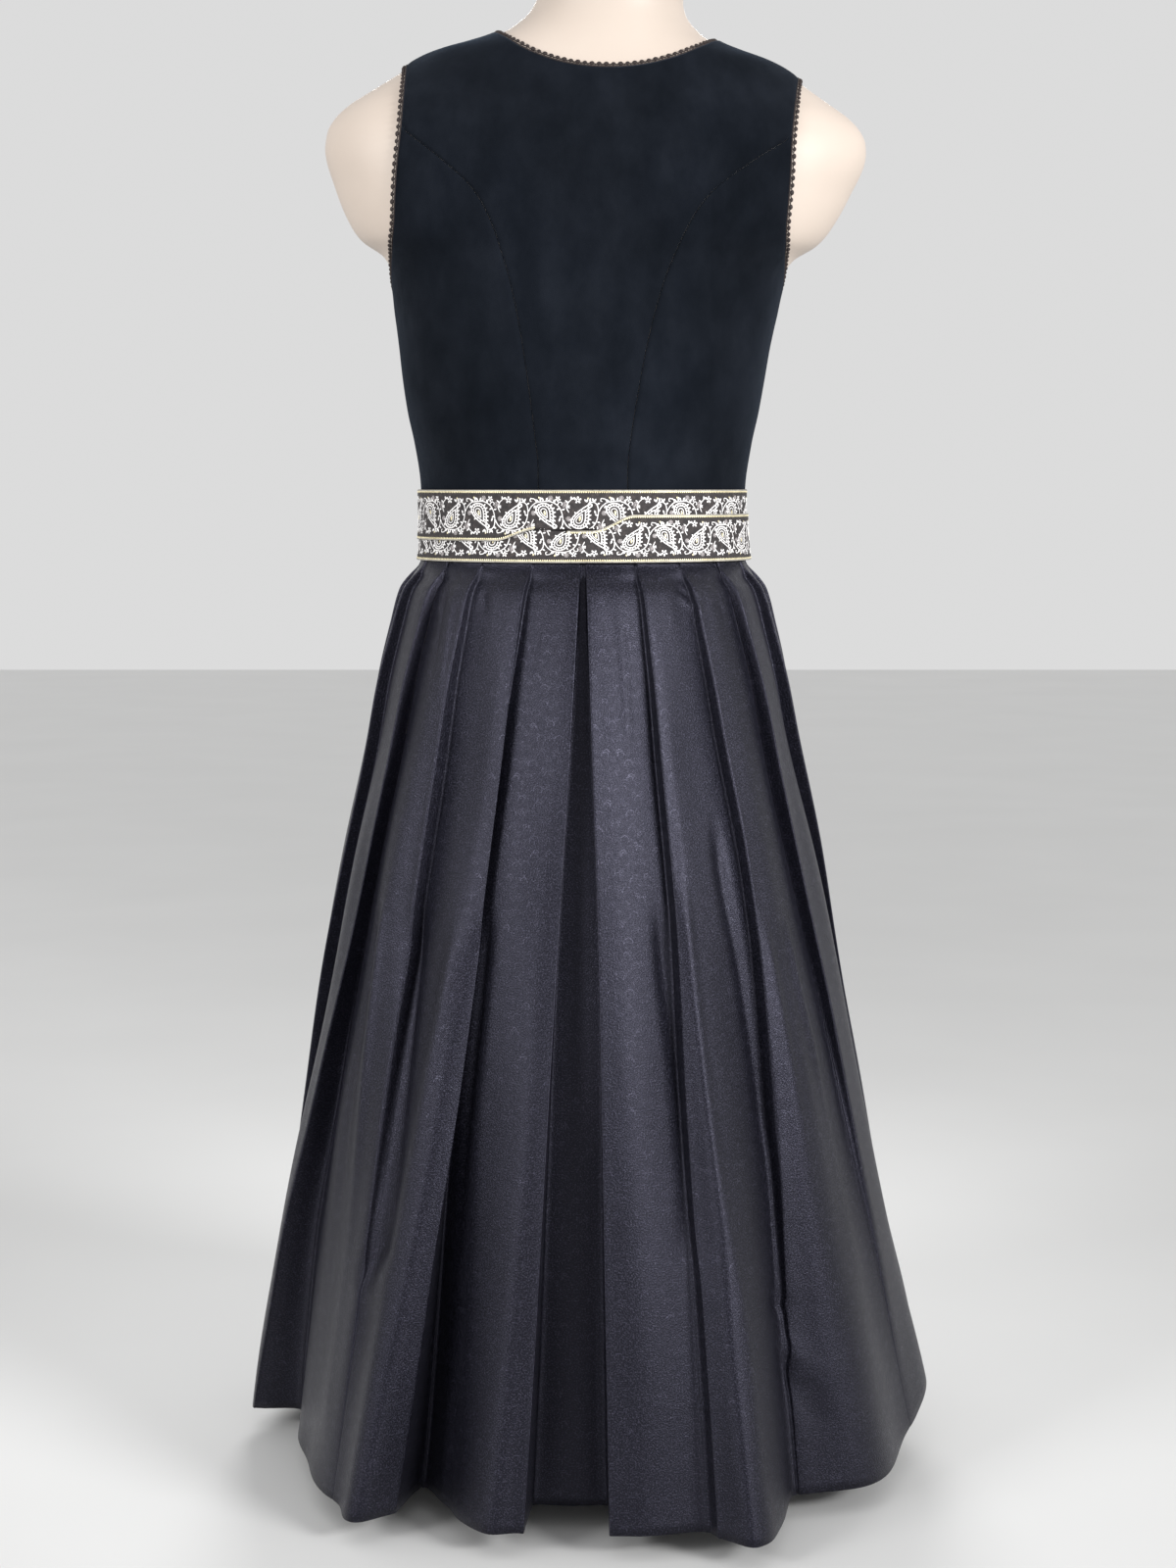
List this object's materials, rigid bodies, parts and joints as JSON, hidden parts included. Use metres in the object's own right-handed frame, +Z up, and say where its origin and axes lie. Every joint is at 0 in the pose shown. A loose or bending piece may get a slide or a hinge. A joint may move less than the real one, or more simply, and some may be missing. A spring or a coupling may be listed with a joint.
{
  "type": "dirndl on a dress form",
  "caption": "Sleeveless dark dirndl with a velvet bodice, a flared skirt in deep pleats and a patterned ribbon belt, worn by a limbless dress form on a round base.",
  "frame": {"origin": "centre of the stand base's underside, on the floor", "axes": "+Z up, +Y towards the back of the dress, +X towards its wearer's left"},
  "size_m": [0.5613, 0.5505, 1.1886],
  "materials": {
    "velvet": "matt pile",
    "jacquard": "satin weave with a small tone-on-tone repeat",
    "ribbon": "woven pattern with a slight metallic thread",
    "braid": "matt braid of small loops",
    "form_shell": "smooth satin shell",
    "stand_steel": "brushed"
  },
  "bodies": {
    "root": {"stand_base": "stand_steel", "stand_pole": "stand_steel", "dress_form": "form_shell", "bodice_back": "velvet", "bodice_side_back_left": "velvet", "bodice_side_back_right": "velvet", "bodice_side_front_left": "velvet", "bodice_side_front_right": "velvet", "bodice_front_left": "velvet", "bodice_front_right": "velvet", "armhole_trim_left": "braid", "armhole_trim_right": "braid", "neckline_trim": "braid", "belt_upper_pass": "ribbon", "belt_lower_pass": "ribbon", "skirt_back": "jacquard", "skirt_side_left": "jacquard", "skirt_side_right": "jacquard", "skirt_front": "jacquard"}
  },
  "joints": []
}
